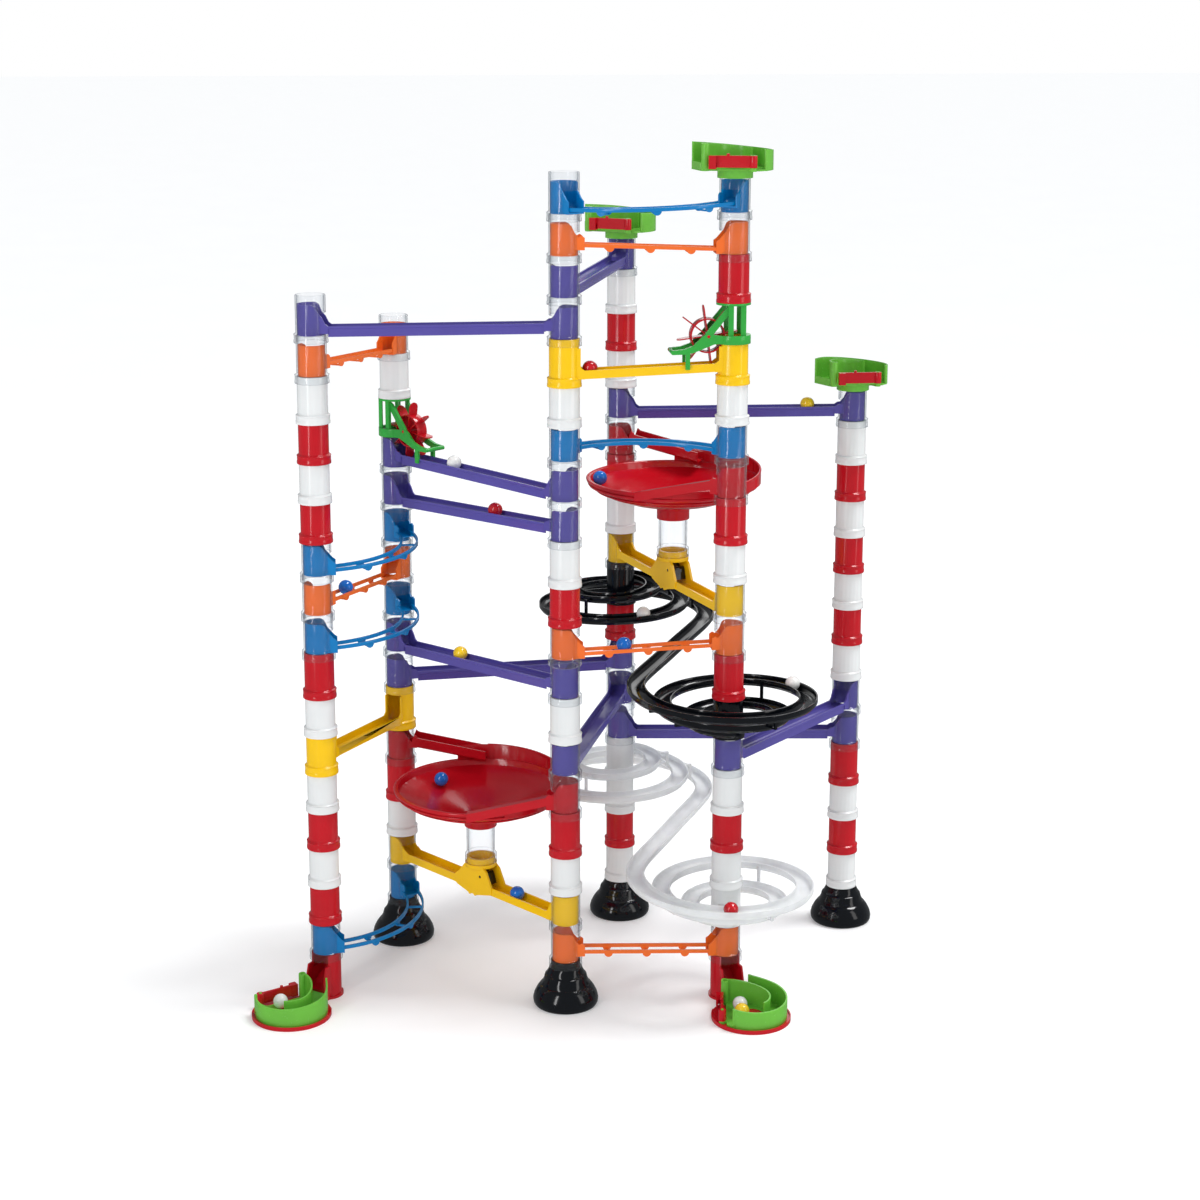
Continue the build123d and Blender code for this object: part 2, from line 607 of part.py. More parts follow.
def lever_pivot():
    """Upright pin at the lever's far end, beside the tray."""
    x, y = turned((LEVER_OUT + 1.4, 20.0), LEVER_AT)
    return (x, y)


def lever():
    """Red lever across the tray's gap, in the tray's own frame."""
    z0 = 3.6
    bar = block(LEVER_OUT, LEVER_OUT + 2.8, -18, 20, z0, 15)
    bar += disc(3.8, z0, 15).moved(Location((LEVER_OUT + 1.4, 20, 0)))
    bar += block(LEVER_OUT - 0.5, LEVER_OUT + 7.0, -22, -15, z0 - 1.2, 15)
    bar -= block(LEVER_OUT + 1.8, LEVER_OUT + 5.0, -20.4, -14.9, z0 - 2, 9)
    bar += disc(1.6, 15, 17).moved(Location((LEVER_OUT + 1.4, -4, 0)))
    bar -= disc(AXLE_R + RUN, -1, 30).moved(Location((LEVER_OUT + 1.4, 20, 0)))
    return whole(bar.moved(Location((0, 0, 0), (0, 0, LEVER_AT))))


def exit_base():
    """Red foot of columns A and D: tube, chute and the round foot plate."""
    top = MODULE + RIM
    body = disc(TUBE_R, 0, top) + disc(COLLAR_R + 0.3, 0, 2.6)
    chute_end = TRAY_REACH - 46.0 + 1.6
    walls = side_prism([
        (6, 0), (chute_end + 5.2, 0), (chute_end + 5.2, 19), (16, 36), (6, 36),
    ], -12.0, 12.0)
    body += walls + block(10, TRAY_REACH - PLATE_R + 4, -12, 12, 0, PLATE_T)
    plate = disc(PLATE_R, 0, PLATE_T) + ring(PLATE_R, PLATE_R - 1.2, 0, PLATE_T + 1.6)
    plate -= block(-60, -22, -30, 30, PLATE_T, 9)
    plate += disc(12.3, 0, PLATE_T + TRAY_FLOOR)
    body += plate.moved(Location((TRAY_REACH, 0, 0)))
    body -= side_prism([
        (-BORE_R - 1, 26), (0, 18), (9, 14.2), (chute_end + 6, PLATE_T + 10.2),
        (chute_end + 6, 60), (10, 60), (10, 34), (-BORE_R - 1, 34),
    ], -10.2, 10.2) & (disc(BORE_R, 0, 60) + block(0, 60, -10.2, 10.2, 0, 60))
    body -= disc(BORE_R, 30, 60)
    body -= block(-10, 10.5, -9, 9, -1, 8)
    return whole(body)


# ---- feet of the other columns ------------------------------------------
def base():
    profile = [
        (15.0, MODULE + RIM), (15.0, MODULE - 0.02), (16.4, MODULE - 0.02), (17.6, 36.5),
        (20.2, 31.6), (21.3, 31.0), (22.4, 26.5), (24.9, 21.2), (26.4, 20.4),
        (29.4, 16.4), (32.2, 11.0), (33.4, 6.2), (33.0, 2.2), (31.6, 0.0),
        (29.6, 0.0), (30.2, 4.0), (28.0, 12.0), (22.2, 19.6), (17.4, 29.6),
        (13.2, 37.0), (0.0, 37.0), (0.0, MODULE - 1.0), (BORE_R, MODULE - 1.0),
        (BORE_R, MODULE + RIM),
    ]
    return spun(profile)


# ---- marbles: where each one lies ---------------------------------------
def on_track(a, b, level, s, floor, span, drop):
    """Centre of a marble s along a straight track from its high end."""
    t = min(1.0, max(0.0, (s - SNOUT) / (span - 2 * SNOUT)))
    z = level * MODULE + floor + drop * (1 - t) + MARBLE_R + MARBLE_AIR
    ux, uy = (AT[b][0] - AT[a][0]) / span, (AT[b][1] - AT[a][1]) / span
    return (AT[a][0] + ux * s, AT[a][1] + uy * s, z)


def bowl_rest(r):
    """Height of a marble's centre over the funnel's socket, r from its axis."""
    (r0, z0), (r1, z1) = BOWL[:2] if r < BOWL[1][0] else BOWL[1:]
    slope = (z1 - z0) / (r1 - r0)
    return z0 + (r - r0) * slope + (MARBLE_R + MARBLE_AIR) * hypot(1, slope)


def ball(centre):
    return Sphere(MARBLE_R).moved(Location(centre))


def link_place(shape, a, b, level):
    return placed(shape, a, level, heading(a, b))


def save(name, *solids):
    """One node: one STEP file, its solids side by side."""
    found = [s for piece in solids for s in piece.solids()]
    shape = found[0] if len(found) == 1 else Compound(children=found)
    shape.label = name
    export_step(shape, os.path.join("parts", name + ".step"))


BLUE_TURN = 2 * degrees(atan2(BLUE_BULGE, SHORT / 2))
FEED_LEAN = degrees(asin((FUNNEL_R - 8.5) / (LONG / 2)))

# rolling marbles: colour, high end, low end, level, distance along, floor, span, drop
RAIL_REST = RAIL_TOP - RAIL_SINK
ROLLING = {
    "marble_yellow_short_cd": ("D", "C", 16, 140.0, YELLOW_FLOOR, SHORT, DROP_SHORT),
    "marble_purple_fe": ("F", "E", 14, 48.0, PURPLE_FLOOR, LONG, DROP_LONG),
    "marble_purple_bc_upper": ("B", "C", 13, 90.0, PURPLE_FLOOR, LONG, DROP_LONG),
    "marble_purple_bc_middle": ("C", "B", 12, 98.0, PURPLE_FLOOR, LONG, DROP_LONG),
    "marble_orange_ab": ("A", "B", 10, 56.0, RAIL_REST, SHORT, DROP_SHORT),
    "marble_orange_cd": ("D", "C", 9, 106.0, RAIL_REST, SHORT, DROP_SHORT),
    "marble_purple_bc_lower": ("C", "B", 8, 152.0, PURPLE_FLOOR, LONG, DROP_LONG),
    "marble_gate_bc": ("B", "C", 2, 178.0, YELLOW_FLOOR, LONG, DROP_LONG),
}


SPIRAL_MARBLES = (0.233, 0.715, 0.63)    # shares of the spiral track run so far
# marbles in the funnels: name, link, radius and angle in the bowl
IN_BOWL = (
    ("marble_funnel_upper", FUNNELS[0], 76.0, 242.0),
    ("marble_funnel_lower", FUNNELS[1], 60.0, 180.0),
)
# marbles in the catching trays: name, column, way out, radius and angle in the tray
CAUGHT = (
    ("marble_catch_a", "A", CATCHERS[0][1], 13.5, 92.0),
    ("marble_catch_d_1", "D", CATCHERS[1][1], 13.0, 32.0),
    ("marble_catch_d_2", "D", CATCHERS[1][1], 13.0, 109.0),
)


def build_tubes():
    plain = tube()
    white, red, clear = [], [], []
    for column, levels in WHITE.items():
        white += [placed(plain, column, k) for k in levels]
    for column, levels in RED.items():
        red += [placed(plain, column, k) for k in levels]
    # kind: links, sill at the high end, sill at the low end, extra turns of the two cups
    kinds = (
        (PURPLE, PURPLE_FLOOR, DROP_LONG, 0.0, 0.0),
        (ORANGE, RAIL_REST, DROP_SHORT, 0.0, 0.0),
        (BLUE, RAIL_REST, DROP_SHORT, BLUE_TURN, -BLUE_TURN),
        (GATES, YELLOW_FLOOR, DROP_LONG, 0.0, 0.0),
        (FUNNELS, YELLOW_FLOOR + 2, 20.5 - YELLOW_FLOOR - 2, FEED_LEAN, FEED_LEAN),
    )
    for links, floor, drop, turn_a, turn_b in kinds:
        high, low = windowed(floor + drop - WALL), windowed(floor - WALL)
        for a, b, level in links:
            clear.append(placed(under_wheel(high, a, b, level), a, level, heading(a, b) + turn_a))
            clear.append(placed(low, b, level, heading(b, a) + turn_b))
    save("white_tubes", *white)
    save("red_tubes", *red)
    save("clear_tubes", *clear)
    drops = []
    for a, b, level in FUNNELS:
        x, y = (AT[a][0] + AT[b][0]) / 2, (AT[a][1] + AT[b][1]) / 2
        drops.append(plain.moved(Location((x, y, (level - 2) * MODULE))))
    save("drop_tubes", *drops)


def build_tracks():
    purple = whole(channel(PURPLE_SECTION, PURPLE_WALL, PURPLE_FLOOR, DROP_LONG, LONG))
    for a, b, level in PURPLE:
        name = "purple_channel_" + (a + b).lower() + "_" + str(level)
        save(name, link_place(under_wheel(purple, a, b, level), a, b, level))
    orange = whole(rails(RAIL_TOP, DROP_SHORT, SHORT))
    blue = whole(rails(RAIL_TOP, DROP_SHORT, SHORT, BLUE_BULGE))
    for colour, piece, links in (("orange_rails", orange, ORANGE), ("blue_rails", blue, BLUE)):
        for pair in ("AB", "CD"):
            chosen = [link for link in links if set(link[:2]) == set(pair)]
            save(colour + "_" + pair.lower(), *[link_place(piece, *link) for link in chosen])
    short = whole(channel(YELLOW_SECTION, YELLOW_WALL, YELLOW_FLOOR, DROP_SHORT, SHORT, True))
    save("yellow_channels", *[link_place(under_wheel(short, *link), *link) for link in YELLOW])
    gate, flap, bowl = gate_track(), gate_flap(), funnel()
    for where, link in zip(("upper", "lower"), GATES):
        save("gate_track_" + where, link_place(gate, *link))
        save("gate_flap_" + where, link_place(flap, *link))
    for where, link in zip(("upper", "lower"), FUNNELS):
        save("funnel_" + where, link_place(bowl, *link))
    twist, path = spiral()
    twist = whole(twist)
    for where, link in zip(("black", "frosted"), SPIRALS):
        save("spiral_" + where, link_place(twist, *link))
    return path


def build_wheels():
    wheel = paddle_wheel()
    yellow_top = MODULE - YELLOW_FLOOR - DROP_SHORT - YELLOW_WALL
    purple_top = MODULE - PURPLE_FLOOR - DROP_LONG - PURPLE_WALL
    slope_yellow = (46.0 - SNOUT) / (SHORT - 2 * SNOUT) * DROP_SHORT
    slope_purple = (46.0 - SNOUT) / (LONG - 2 * SNOUT) * DROP_LONG
    stands = (yellow_top + slope_yellow - 0.15, purple_top + slope_purple - 0.15)
    for name, wall, link in zip(("cd", "bc"), stands, WHEELS):
        save("wheel_frame_" + name, link_place(wheel_frame(wall), *link))
        save("paddle_wheel_" + name, link_place(wheel, *link))


def build_trays():
    loading, catching, bar = tray(True), tray(False), lever()
    for column, level, mouth in STARTERS:
        tag = column.lower()
        lift = Location((0, 0, RIM + 0.8))
        save("loading_tray_" + tag, placed(loading.moved(lift), column, level, mouth))
        save("lever_" + tag, placed(bar.moved(lift), column, level, mouth))
    foot = exit_base()
    for column, out in CATCHERS:
        tag = column.lower()
        here = Location((TRAY_REACH, 0, PLATE_T), (0, 0, 180))
        save("exit_base_" + tag, placed(foot, column, 0, out))
        save("catching_tray_" + tag, placed(catching.moved(here), column, 0, out))
        save("catch_lever_" + tag, placed(bar.moved(here), column, 0, out))


def build_marbles(path):
    for name, (a, b, level, s, floor, span, drop) in ROLLING.items():
        save(name, ball(on_track(a, b, level, s, floor, span, drop)))
    # in the funnels, on the sloping floor
    for name, link, r, angle in IN_BOWL:
        x, y = polar(r, angle)
        centre = Location((LONG / 2 + x, y, bowl_rest(r) - MODULE))
        save(name, link_place(Sphere(MARBLE_R).moved(centre), *link))
    # on the spirals, by the share of the track run so far
    twists = (("marble_spiral_upper", SPIRALS[0]), ("marble_spiral_black", SPIRALS[0]),
              ("marble_spiral_frosted", SPIRALS[1]))
    for (name, link), t in zip(twists, SPIRAL_MARBLES):
        p = path @ t
        centre = Location((p.X, p.Y, p.Z + MARBLE_R + MARBLE_AIR))
        save(name, link_place(Sphere(MARBLE_R).moved(centre), *link))
    # in the catching trays
    rest = PLATE_T + TRAY_FLOOR + MARBLE_R + MARBLE_AIR
    for name, column, out, r, angle in CAUGHT:
        x, y = polar(r, angle + 180)
        centre = Location((TRAY_REACH + x, y, rest))
        save(name, placed(Sphere(MARBLE_R).moved(centre), column, 0, out))


def main():
    os.makedirs("parts", exist_ok=True)
    build_tubes()
    path = build_tracks()
    build_wheels()
    build_trays()
    build_marbles(path)
    save("bases", *[placed(base(), column, 0) for column in BASES])


if __name__ == "__main__":
    main()
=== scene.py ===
"""The marble run's looks: moulded plastics, glass marbles, studio light and the camera."""
import json
from math import atan2, cos, pi, radians, sin

import bmesh
import bpy
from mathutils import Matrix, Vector


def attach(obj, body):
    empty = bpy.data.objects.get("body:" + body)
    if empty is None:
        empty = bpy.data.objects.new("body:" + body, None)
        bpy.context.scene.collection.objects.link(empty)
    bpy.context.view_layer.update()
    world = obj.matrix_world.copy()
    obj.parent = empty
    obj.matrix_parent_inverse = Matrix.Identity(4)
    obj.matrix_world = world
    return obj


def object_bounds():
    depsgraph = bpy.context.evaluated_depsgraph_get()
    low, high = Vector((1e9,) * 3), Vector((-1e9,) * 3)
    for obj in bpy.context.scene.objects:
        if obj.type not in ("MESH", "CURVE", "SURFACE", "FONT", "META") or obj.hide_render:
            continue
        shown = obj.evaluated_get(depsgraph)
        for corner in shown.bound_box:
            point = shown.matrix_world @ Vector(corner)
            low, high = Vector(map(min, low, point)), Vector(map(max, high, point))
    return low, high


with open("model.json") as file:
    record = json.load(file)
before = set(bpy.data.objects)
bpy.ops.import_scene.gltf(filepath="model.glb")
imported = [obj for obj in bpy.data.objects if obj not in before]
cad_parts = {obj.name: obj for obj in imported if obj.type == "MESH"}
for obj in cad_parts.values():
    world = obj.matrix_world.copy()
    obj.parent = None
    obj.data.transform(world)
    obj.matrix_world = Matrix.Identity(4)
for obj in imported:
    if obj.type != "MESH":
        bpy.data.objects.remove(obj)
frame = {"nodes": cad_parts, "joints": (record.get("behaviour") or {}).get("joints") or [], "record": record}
cad_box = [list(corner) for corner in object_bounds()]

# ---- camera ---------------------------------------------------------------
CAMERA_AT = (-0.2, -2.192, 1.006)
CAMERA_PITCH = -11.78      # degrees below the horizon
CAMERA_YAW = -5.84
CAMERA_LENS = 68.94        # mm
CAMERA_SENSOR = 36.0
CAMERA_SHIFT = (0.009, -0.1)


def make_camera():
    data = bpy.data.cameras.new("studio_camera")
    data.lens, data.sensor_width = CAMERA_LENS, CAMERA_SENSOR
    data.shift_x, data.shift_y = CAMERA_SHIFT
    camera = bpy.data.objects.new("studio_camera", data)
    camera.location = CAMERA_AT
    camera.rotation_euler = (radians(90 + CAMERA_PITCH), 0, radians(CAMERA_YAW))
    bpy.context.collection.objects.link(camera)
    bpy.context.scene.camera = camera


# ---- node helpers -----------------------------------------------------------
class Nodes:
    """Short ways to add and join the nodes of one material."""

    def __init__(self, name):
        self.material = bpy.data.materials.new(name)
        self.material.use_nodes = True
        self.tree = self.material.node_tree
        self.tree.nodes.clear()
        self.place = self.add("ShaderNodeTexCoord").outputs["Object"]

    def add(self, kind, **inputs):
        node = self.tree.nodes.new(kind)
        for name, value in inputs.items():
            self.put(node.inputs[name.replace("_", " ")], value)
        return node

    def put(self, socket, value):
        if isinstance(value, bpy.types.NodeSocket):
            self.tree.links.new(value, socket)
        else:
            socket.default_value = value

    def stretched(self, scale):
        node = self.add("ShaderNodeMapping", Vector=self.place)
        node.inputs["Scale"].default_value = scale
        return node.outputs["Vector"]

    def noise(self, scale, detail=2.0, rough=0.5, vector=None):
        node = self.add("ShaderNodeTexNoise", Vector=vector or self.place, Scale=scale, Detail=detail,
                        Roughness=rough)
        return node.outputs["Fac"]

    def ramp(self, value, low, high, start=0.0, end=1.0):
        """Runs value from low to high while it goes from start to end."""
        node = self.add("ShaderNodeMapRange", Value=value)
        for name, number in (("From Min", start), ("From Max", end), ("To Min", low), ("To Max", high)):
            node.inputs[name].default_value = number
        return node.outputs["Result"]

    def math(self, operation, a, b):
        node = self.add("ShaderNodeMath")
        node.operation = operation
        self.put(node.inputs[0], a)
        self.put(node.inputs[1], b)
        return node.outputs[0]

    def mixed(self, factor, a, b):
        node = self.add("ShaderNodeMix")
        node.data_type = "RGBA"
        self.put(node.inputs["Factor"], factor)
        self.put(node.inputs[6], a)
        self.put(node.inputs[7], b)
        return node.outputs[2]

    def bump(self, height, distance, strength=1.0, normal=None):
        node = self.add("ShaderNodeBump", Height=height, Distance=distance, Strength=strength)
        if normal is not None:
            self.put(node.inputs["Normal"], normal)
        return node.outputs["Normal"]

    def blend(self, factor, a, b):
        node = self.add("ShaderNodeMixShader")
        self.put(node.inputs[0], factor)
        self.put(node.inputs[1], a)
        self.put(node.inputs[2], b)
        return node.outputs[0]

    def finish(self, shader):
        out = self.add("ShaderNodeOutputMaterial")
        self.put(out.inputs["Surface"], shader)
        return self.material


def shade(colour, by):
    """A colour made lighter or darker, with full alpha."""
    return (*[min(1.0, c * by) for c in colour], 1.0)


# ---- materials --------------------------------------------------------------
ACRYLIC_IOR = 1.5
MARBLE_IOR = 1.52
COAT_ROUGH = 0.06
DEEPEST_TINT = 0.1         # how much darker or lighter the colour clouds run at depth 1
GLOSS_SPREAD = 0.08        # how much duller handling marks are than clean plastic
GRAIN_HEIGHT = 0.00002     # metres, as are the other heights
WAVE_HEIGHT = 0.0002
FROST_HEIGHT = 0.00005
KNOCK_HEIGHT = 0.00004


def moulded(name, colour, rough=0.22, coat=0.0, depth=0.5, translucent=0.0):
    """Glossy injection-moulded plastic: cloudy colour, flow lines, handling marks, fine grain."""
    n = Nodes(name)
    cloud = n.noise(38.0, 3.0)
    flow = n.noise(9.0, 4.0, 0.6, n.stretched((1.0, 1.0, 6.0)))
    tone = n.ramp(n.math("ADD", cloud, flow), 0.0, 1.0, 0.6, 1.4)
    tint = n.mixed(tone, shade(colour, 1.0 - DEEPEST_TINT * depth),
                   shade(colour, 1.0 + DEEPEST_TINT * depth))
    marks = n.ramp(n.noise(320.0, 4.0, 0.6), 0.0, 0.6, 0.35, 0.8)
    scuffs = n.ramp(n.noise(500.0, 3.0, 0.6, n.stretched((1.0, 1.0, 0.06))), 0.0, 1.0, 0.66, 0.82)
    gloss = n.ramp(n.math("MAXIMUM", marks, scuffs), rough, rough + GLOSS_SPREAD)
    grain = n.bump(n.noise(2200.0, 2.0), GRAIN_HEIGHT, 0.4)
    wave = n.bump(n.noise(60.0, 2.0), WAVE_HEIGHT, 0.3, grain)
    body = n.add("ShaderNodeBsdfPrincipled", Base_Color=tint, Roughness=gloss, Normal=wave)
    body.inputs["IOR"].default_value = ACRYLIC_IOR
    body.inputs["Coat Weight"].default_value = coat
    body.inputs["Coat Roughness"].default_value = COAT_ROUGH
    body.inputs["Subsurface Weight"].default_value = translucent
    body.inputs["Subsurface Radius"].default_value = (0.004, 0.003, 0.003)
    body.inputs["Subsurface Scale"].default_value = 1.0
    return n.finish(body.outputs[0])


def clear_plastic(name, tint, haze, rough=0.05):
    """Clear polystyrene: see-through, hazy towards grazing angles, with full-strength gloss."""
    n = Nodes(name)
    grain = n.bump(n.noise(1500.0), GRAIN_HEIGHT, 0.3)
    ripple = n.bump(n.noise(90.0, 2.0), WAVE_HEIGHT, 0.3, grain)
    facing = n.add("ShaderNodeLayerWeight", Blend=0.5, Normal=ripple).outputs["Facing"]
    cloud = n.ramp(n.noise(60.0, 4.0), 0.7, 1.3)
    bright = n.add("ShaderNodeBsdfDiffuse", Normal=ripple)
    glow = n.add("ShaderNodeBsdfTranslucent", Normal=ripple)
    for shader in (bright, glow):
        shader.inputs["Color"].default_value = (*tint, 1.0)
    milk = n.blend(0.5, bright.outputs[0], glow.outputs[0])
    depth = n.math("POWER", facing, 3.0)
    passed = n.mixed(depth, (0.985, 0.99, 0.995, 1.0), (0.62, 0.66, 0.7, 1.0))
    see = n.add("ShaderNodeBsdfTransparent", Color=passed)
    amount = n.math("MULTIPLY", n.ramp(facing, haze, 0.26, 0.6, 1.0), cloud)
    inside = n.blend(amount, see.outputs[0], milk)
    shine = n.add("ShaderNodeBsdfGlossy", Normal=ripple)
    shine.inputs["Roughness"].default_value = rough
    mirror = n.ramp(n.math("POWER", facing, 4.0), 0.03, 0.65)
    return n.finish(n.blend(mirror, inside, shine.outputs[0]))


def frosted_plastic(name, tint):
    """Milky translucent plastic with a satin face."""
    n = Nodes(name)
    grain = n.bump(n.noise(1400.0, 3.0), FROST_HEIGHT, 0.5)
    cloud = n.noise(45.0, 4.0)
    gloss = n.ramp(n.noise(160.0, 4.0), 0.26, 0.42)
    colour = n.mixed(n.ramp(cloud, 0.0, 1.0, 0.35, 0.65), shade(tint, 0.93), shade(tint, 1.03))
    body = n.add("ShaderNodeBsdfPrincipled", Base_Color=colour, Roughness=gloss, Normal=grain)
    body.inputs["Subsurface Weight"].default_value = 0.4
    body.inputs["Subsurface Radius"].default_value = (0.006, 0.006, 0.007)
    body.inputs["Subsurface Scale"].default_value = 1.0
    see = n.add("ShaderNodeBsdfTransparent")
    see.inputs["Color"].default_value = (0.96, 0.97, 0.98, 1.0)
    edge = n.add("ShaderNodeLayerWeight", Blend=0.4).outputs["Facing"]
    solid = n.ramp(edge, 0.74, 0.96, 0.2, 0.95)
    return n.finish(n.blend(solid, see.outputs[0], body.outputs[0]))


def marble_glass(name, colour):
    """Opaque coloured marble: faint swirl under a polished skin, with small knocks."""
    n = Nodes(name)
    swirl = n.noise(70.0, 5.0, 0.6, n.stretched((1.0, 0.5, 1.8)))
    tint = n.mixed(n.ramp(swirl, 0.0, 1.0, 0.4, 0.62), shade(colour, 0.82), shade(colour, 1.1))
    knocks = n.ramp(n.noise(700.0, 4.0), 0.0, 1.0, 0.66, 0.78)
    gloss = n.ramp(knocks, 0.07, 0.3)
    body = n.add("ShaderNodeBsdfPrincipled", Base_Color=tint, Roughness=gloss,
                 Normal=n.bump(knocks, KNOCK_HEIGHT, 0.4))
    body.inputs["IOR"].default_value = MARBLE_IOR
    body.inputs["Coat Weight"].default_value = 0.6
    body.inputs["Coat Roughness"].default_value = 0.03
    return n.finish(body.outputs[0])


# colour, roughness, coat, depth of the colour clouds, share of light that goes in and out
PLASTICS = {
    "white_plastic": ((0.79, 0.8, 0.8), 0.2, 0.15, 0.25, 0.12),
    "red_plastic": ((0.52, 0.004, 0.012), 0.18, 0.15, 0.7, 0.0),
    "black_plastic": ((0.002, 0.003, 0.005), 0.1, 0.0, 0.8, 0.0),
    "green_plastic": ((0.03, 0.38, 0.05), 0.22, 0.1, 0.6, 0.0),
    "purple_plastic": ((0.09, 0.072, 0.34), 0.22, 0.1, 0.6, 0.0),
    "orange_plastic": ((0.9, 0.16, 0.02), 0.22, 0.1, 0.5, 0.0),
    "blue_plastic": ((0.0, 0.19, 0.5), 0.2, 0.1, 0.6, 0.0),
    "yellow_plastic": ((0.93, 0.56, 0.002), 0.2, 0.1, 0.3, 0.0),
}
LEAF_GREEN = ((0.15, 0.5, 0.05), 0.24, 0.1, 0.6, 0.1)     # the trays' lighter green
MARBLES = {
    "marble_white": (0.88, 0.88, 0.86),
    "marble_red": (0.55, 0.008, 0.015),
    "marble_yellow": (0.95, 0.6, 0.02),
    "marble_blue": (0.005, 0.15, 0.6),
}


def make_materials():
    looks = {slot: moulded(slot, *values) for slot, values in PLASTICS.items()}
    looks.update({slot: marble_glass(slot, colour) for slot, colour in MARBLES.items()})
    looks["clear_plastic"] = clear_plastic("clear_plastic", (0.88, 0.91, 0.93), 0.012)
    looks["frosted_plastic"] = frosted_plastic("frosted_plastic", (0.86, 0.88, 0.89))
    return looks


def dress_nodes(looks):
    """Gives each CAD node its material, and the trays the lighter green."""
    leaf = moulded("leaf_green_plastic", *LEAF_GREEN)
    for part in frame["record"]["subparts"]:
        node = frame["nodes"][part["node"]]
        look = looks[part["material_slot"]]
        if part["node"].startswith(("loading_tray", "catching_tray")):
            look = leaf
        for slot in node.material_slots:
            slot.material = look
        if not part["node"].startswith("marble"):
            round_edges(node)


# ---- mesh helpers -----------------------------------------------------------
SHARP_ANGLE = radians(35)
EASED_EDGE = 0.0003        # width of the bevel on moulded edges
SAME_POINT = 0.000002      # corners closer than this are welded before the bevel


def piece_from(mesh_data, name, look, body="structure"):
    """Links a finished mesh or curve as a piece that rides on a body."""
    piece = bpy.data.objects.new(name, mesh_data)
    bpy.context.collection.objects.link(piece)
    mesh_data.materials.append(look)
    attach(piece, body)
    return piece


def skin(rings, closed=False):
    """Faces between rings of points, each ring a closed loop of the same length."""
    mesh = bmesh.new()
    loops = [[mesh.verts.new(point) for point in ring] for ring in rings]
    count = len(rings[0])
    pairs = list(zip(loops, loops[1:])) + ([(loops[-1], loops[0])] if closed else [])
    for low, high in pairs:
        for i in range(count):
            j = (i + 1) % count
            mesh.faces.new((low[i], low[j], high[j], high[i]))
    if not closed:
        mesh.faces.new(list(reversed(loops[0])))
        mesh.faces.new(loops[-1])
    bmesh.ops.recalc_face_normals(mesh, faces=mesh.faces)
    for face in mesh.faces:
        face.smooth = True
    for edge in mesh.edges:
        if len(edge.link_faces) == 2 and edge.calc_face_angle() > SHARP_ANGLE:
            edge.smooth = False
    data = bpy.data.meshes.new("skin")
    mesh.to_mesh(data)
    mesh.free()
    return data


def arc_points(centre, radius, start, end, heights, steps):
    """Points round a centre from one angle to another, at heights given by share."""
    points = []
    for i in range(steps + 1):
        share = i / steps
        angle = start + (end - start) * share
        points.append((centre.x + radius * cos(angle), centre.y + radius * sin(angle),
                       centre.z + heights(share)))
    return points


def joint(name):
    """A joint of the frame."""
    return next(j for j in frame["joints"] if j["name"] == name)


def mount(name):
    """Where a mount of the record lies."""
    return Vector(next(m for m in frame["record"]["mounts"] if m["name"] == name)["pos_m"])


def round_edges(node):
    """Eases a moulded part's sharp corners; the part's own mesh stays as it is."""
    weld = node.modifiers.new("weld", "WELD")
    weld.merge_threshold = SAME_POINT
    bevel = node.modifiers.new("eased_edges", "BEVEL")
    bevel.width, bevel.segments = EASED_EDGE, 2
    bevel.limit_method, bevel.angle_limit = "ANGLE", SHARP_ANGLE
    bevel.use_clamp_overlap, bevel.harden_normals = True, True


# ---- bowls: sweeping wall, rolled rim and ridges ------------------------------
BOWL_RADIUS = 0.0905       # outside of the sweeping wall
BOWL_RIM = 0.003           # rim over the joint that the bowl turns about
WALL_THICK = 0.0018
WALL_HIGH = 0.0150         # wall over the rim where the trough meets it
WALL_LOW = 0.0018
WALL_FROM = 131.0          # degrees from the feeding column's direction
WALL_TO = -28.0
WALL_FOOT = 0.004          # how far the wall reaches down inside the rim
ROLL = 0.0013              # radius of a rolled edge
WALL_STEPS = 72
RING_STEPS = 120
# radius, depth under the rim and thickness of each bead
BOWL_BEADS = ((0.0892, 0.0006, 0.0013), (0.0880, 0.0052, 0.0007), (0.0800, 0.0116, 0.0007),
              (0.0700, 0.0160, 0.0007))


def eased(share):
    """A smooth step from 0 to 1."""
    return share * share * (3 - 2 * share)


def sweeping_wall(tag, centre, heading, look):
    """The wall that carries on from the trough round the back of the bowl, sinking to the rim."""
    def top(share):
        return BOWL_RIM + WALL_HIGH + (WALL_LOW - WALL_HIGH) * eased(share)

    def foot(share):
        return BOWL_RIM - WALL_FOOT

    start, end = heading + radians(WALL_FROM), heading + radians(WALL_TO)
    inner, outer = BOWL_RADIUS - WALL_THICK, BOWL_RADIUS
    corners = ((inner, foot), (outer, foot), (outer, top), (inner, top))
    sides = [arc_points(centre, radius, start, end, height, WALL_STEPS)
             for radius, height in corners]
    piece_from(skin(list(zip(*sides))), f"bowl_wall_{tag}", look)
    middle = arc_points(centre, (inner + outer) / 2, start, end, top, WALL_STEPS)
    rolled_edge(f"bowl_wall_lip_{tag}", middle, ROLL, look)


def rolled_edge(name, points, radius, look, closed=False):
    """A round bead along a line."""
    curve = bpy.data.curves.new(name, "CURVE")
    curve.dimensions = "3D"
    curve.bevel_depth, curve.bevel_resolution, curve.use_fill_caps = radius, 3, True
    line = curve.splines.new("POLY")
    line.points.add(len(points) - 1)
    for spot, point in zip(line.points, points):
        spot.co = (*point, 1.0)
    line.use_cyclic_u = closed
    return piece_from(curve, name, look)


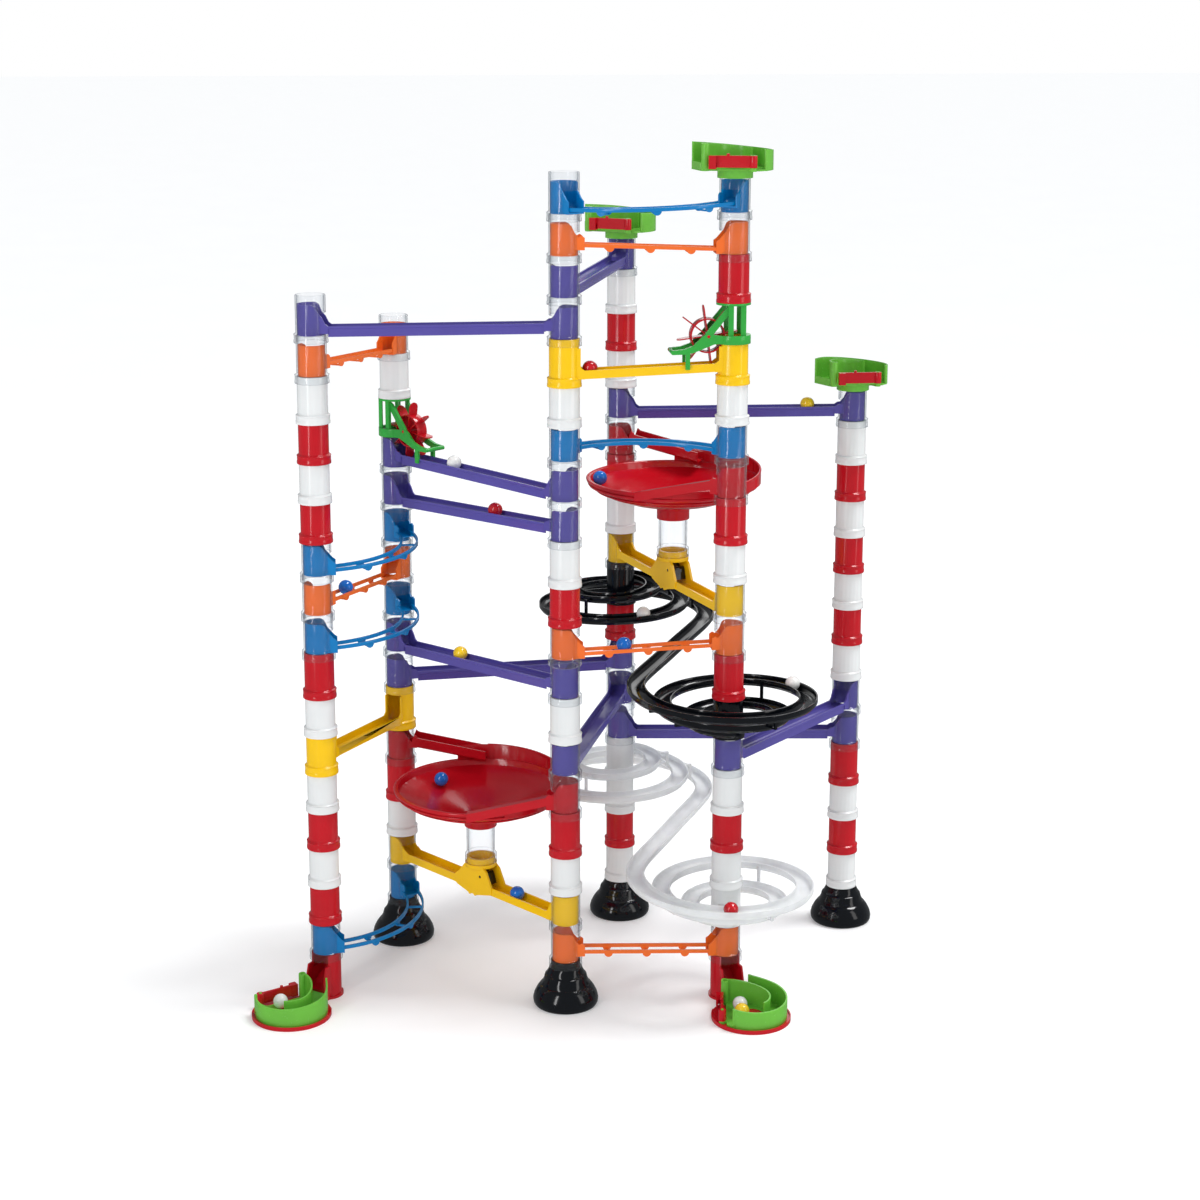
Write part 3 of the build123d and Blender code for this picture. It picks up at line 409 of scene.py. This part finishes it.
def bowl_ridges(tag, centre, look):
    """The rolled rim and the ridges round the underside."""
    for number, (radius, drop, bead) in enumerate(BOWL_BEADS):
        ring = arc_points(centre, radius, 0.0, 2 * pi, lambda share: BOWL_RIM - drop, RING_STEPS)
        rolled_edge(f"bowl_bead_{tag}_{number}", ring[:-1], bead, look, closed=True)


def make_bowls(looks):
    """Both bowls' walls and beads, placed by their marble's joint and their feeding column."""
    red = looks["red_plastic"]
    for tag, foot in (("upper", "foot_e"), ("lower", "foot_b")):
        centre = Vector(joint(f"roll_funnel_{tag}")["pos_m"])
        way = centre - mount(foot)
        heading = atan2(way.y, way.x)
        sweeping_wall(tag, centre, heading, red)
        bowl_ridges(tag, centre, red)


# ---- studio -----------------------------------------------------------------
WORLD_LIGHT = 0.5
WORLD_MIRRORED = 0.22      # the same light as reflections see it
WORLD_TINT = (0.95, 0.975, 1.0, 1.0)
BACKGROUND = (1.0, 1.0, 1.0, 1.0)
SUN_FROM = (0.5, 0.0, 1.0)
SUN_STRENGTH = 1.9
SUN_SOFTNESS = 22          # degrees across
NEUTRAL = (1.0, 1.0, 1.0)
WARM = (1.0, 0.985, 0.96)
# name, place, size, power, colour
AREA_LIGHTS = (
    ("left_strip", (-1.5, -1.6, 1.3), (0.3, 1.9), 13, NEUTRAL),
    ("front_fill", (-0.7, -2.6, 1.7), (2.0, 1.4), 9, NEUTRAL),
    ("right_fill", (1.9, -1.2, 1.2), (0.6, 1.8), 6, WARM),
    ("back_rim", (0.7, 2.1, 1.6), (1.4, 1.2), 8, NEUTRAL),
)
UNMIRRORED = ("front_fill",)     # lights that reflections don't show
FLOOR_SIZE = 60.0
FLOOR_DIVISIONS = 8
FLOOR_GLOW = 0.14
FLOOR_TONES = ((0.88, 0.885, 0.89, 1.0), (0.92, 0.92, 0.92, 1.0))


def area_light(name, at, towards, size, power, colour):
    data = bpy.data.lights.new(name, "AREA")
    data.shape = "RECTANGLE"
    data.size, data.size_y = size
    data.energy, data.color = power, colour
    light = bpy.data.objects.new(name, data)
    light.location = at
    light.rotation_euler = (Vector(at) - Vector(towards)).to_track_quat("Z", "Y").to_euler()
    light.visible_glossy = name not in UNMIRRORED
    bpy.context.collection.objects.link(light)


def make_world():
    """Even white studio light, weaker in reflections, and plain white behind the object."""
    world = bpy.data.worlds.new("studio")
    world.use_nodes = True
    tree = world.node_tree
    lit = tree.nodes["Background"]
    lit.inputs["Color"].default_value = WORLD_TINT
    seen = tree.nodes.new("ShaderNodeBackground")
    seen.inputs["Color"].default_value = BACKGROUND
    rays = tree.nodes.new("ShaderNodeLightPath")
    level = tree.nodes.new("ShaderNodeMapRange")
    level.inputs["To Min"].default_value = WORLD_LIGHT
    level.inputs["To Max"].default_value = WORLD_MIRRORED
    tree.links.new(rays.outputs["Is Glossy Ray"], level.inputs["Value"])
    tree.links.new(level.outputs["Result"], lit.inputs["Strength"])
    mix = tree.nodes.new("ShaderNodeMixShader")
    tree.links.new(rays.outputs["Is Camera Ray"], mix.inputs[0])
    tree.links.new(lit.outputs[0], mix.inputs[1])
    tree.links.new(seen.outputs[0], mix.inputs[2])
    tree.links.new(mix.outputs[0], tree.nodes["World Output"].inputs["Surface"])
    bpy.context.scene.world = world


def make_sun(name, direction, strength, softness):
    data = bpy.data.lights.new(name, "SUN")
    data.energy, data.angle = strength, radians(softness)
    light = bpy.data.objects.new(name, data)
    light.rotation_euler = Vector(direction).to_track_quat("Z", "Y").to_euler()
    bpy.context.collection.objects.link(light)


def make_floor():
    """A large pale floor that meets the white background without a seam."""
    bpy.ops.mesh.primitive_grid_add(x_subdivisions=FLOOR_DIVISIONS, y_subdivisions=FLOOR_DIVISIONS,
                                    size=FLOOR_SIZE)
    floor = bpy.context.object
    floor.name = "floor"
    floor.visible_glossy = False
    n = Nodes("floor")
    tone = n.mixed(n.noise(3.0, 4.0), *FLOOR_TONES)
    grain = n.bump(n.noise(400.0, 3.0), WAVE_HEIGHT, 0.2)
    face = n.add("ShaderNodeBsdfPrincipled", Base_Color=tone, Normal=grain,
                 Roughness=n.ramp(n.noise(12.0, 3.0), 0.55, 0.65))
    face.inputs["Specular IOR Level"].default_value = 0.2
    face.inputs["Emission Color"].default_value = BACKGROUND
    face.inputs["Emission Strength"].default_value = FLOOR_GLOW
    floor.data.materials.append(n.finish(face.outputs[0]))


def make_studio():
    centre = [sum(pair) / 2 for pair in zip(*cad_box)]
    make_world()
    make_sun("high_soft_sun", SUN_FROM, SUN_STRENGTH, SUN_SOFTNESS)
    for name, at, size, power, colour in AREA_LIGHTS:
        area_light(name, at, centre, size, power, colour)
    bpy.context.scene.view_settings.view_transform = "Standard"
    make_floor()


make_camera()
LOOKS = make_materials()
dress_nodes(LOOKS)
make_bowls(LOOKS)
make_studio()
